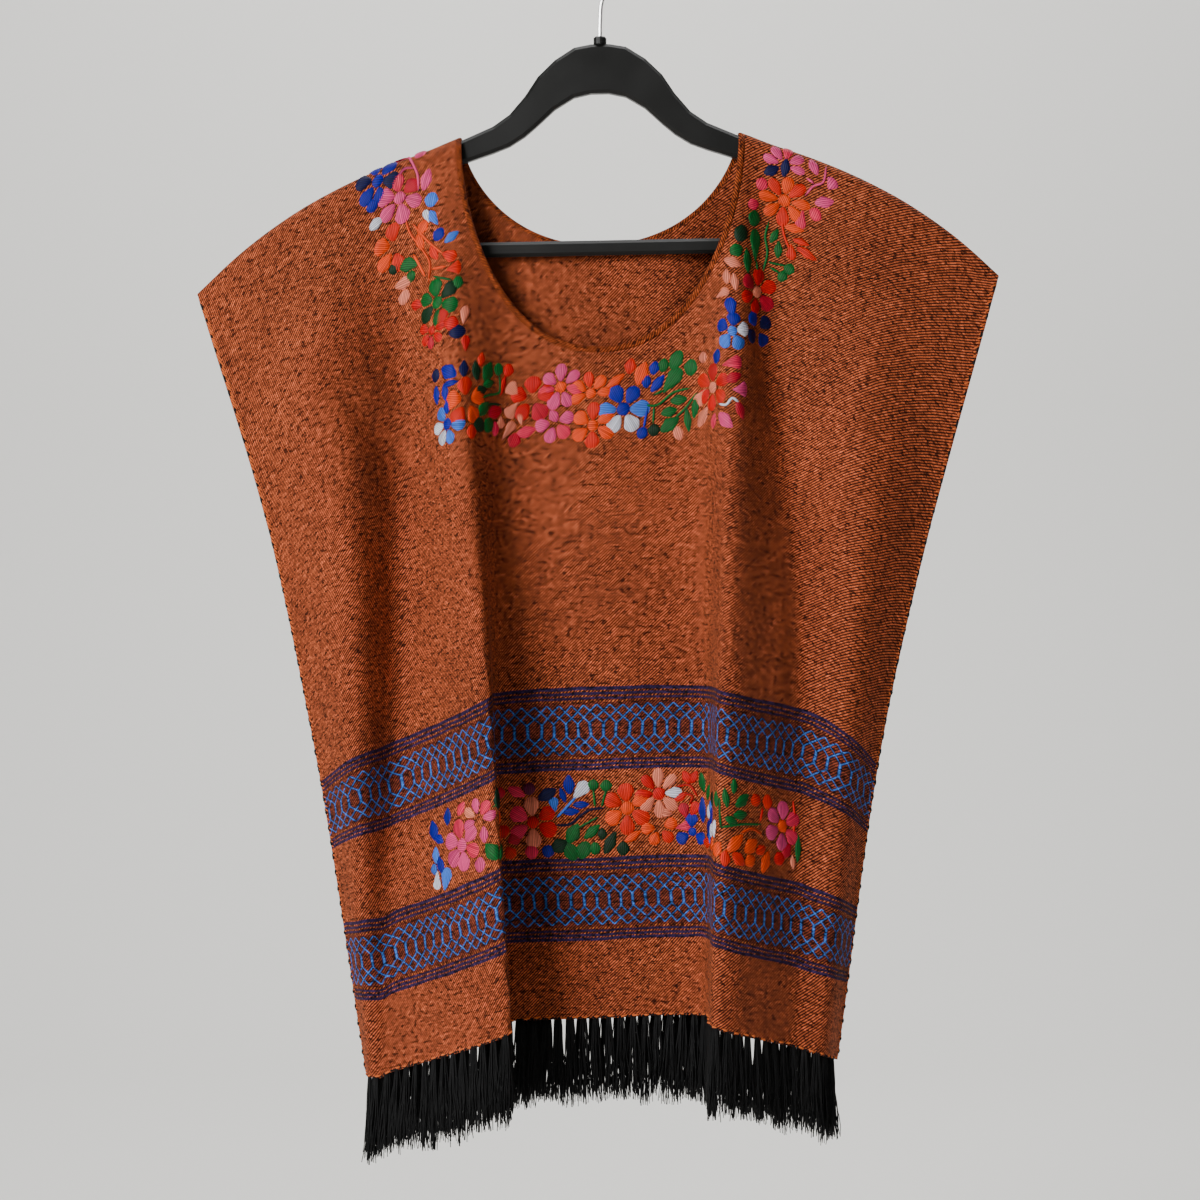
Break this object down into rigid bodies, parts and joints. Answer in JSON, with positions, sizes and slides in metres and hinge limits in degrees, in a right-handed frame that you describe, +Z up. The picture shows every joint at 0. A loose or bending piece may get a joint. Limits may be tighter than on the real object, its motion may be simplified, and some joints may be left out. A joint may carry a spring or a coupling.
{
  "type": "fringed woven blouse on a hanger",
  "caption": "Sleeveless wide blouse of hand-woven cloth with a scooped neck, woven bands, embroidered flowers and a fringed hem, hanging on a hanger with a trouser bar.",
  "frame": {"origin": "the top of the rail where the hook rests on it, inside the top of the hook", "axes": "+Z up, -Y out of the blouse's front, +X towards the wearer's left"},
  "size_m": [0.621, 0.178, 0.9631],
  "materials": {
    "cloth": "matte hand-woven cotton twill of orange and black yarns",
    "rolled_edge": "the same cloth, turned and rolled",
    "fringe_yarn": "black cotton yarn, softly twisted",
    "hanger_plastic": "satin black moulded plastic",
    "hook_wire": "plated steel wire"
  },
  "bodies": {
    "root": {"front": "cloth", "back": "cloth", "neck_edge_front": "rolled_edge", "neck_edge_back": "rolled_edge", "fringe_front": "fringe_yarn", "fringe_back": "fringe_yarn", "hanger_arms": "hanger_plastic", "hanger_bar": "hanger_plastic", "hanger_collar": "hanger_plastic", "hanger_hook": "hook_wire"}
  },
  "joints": []
}
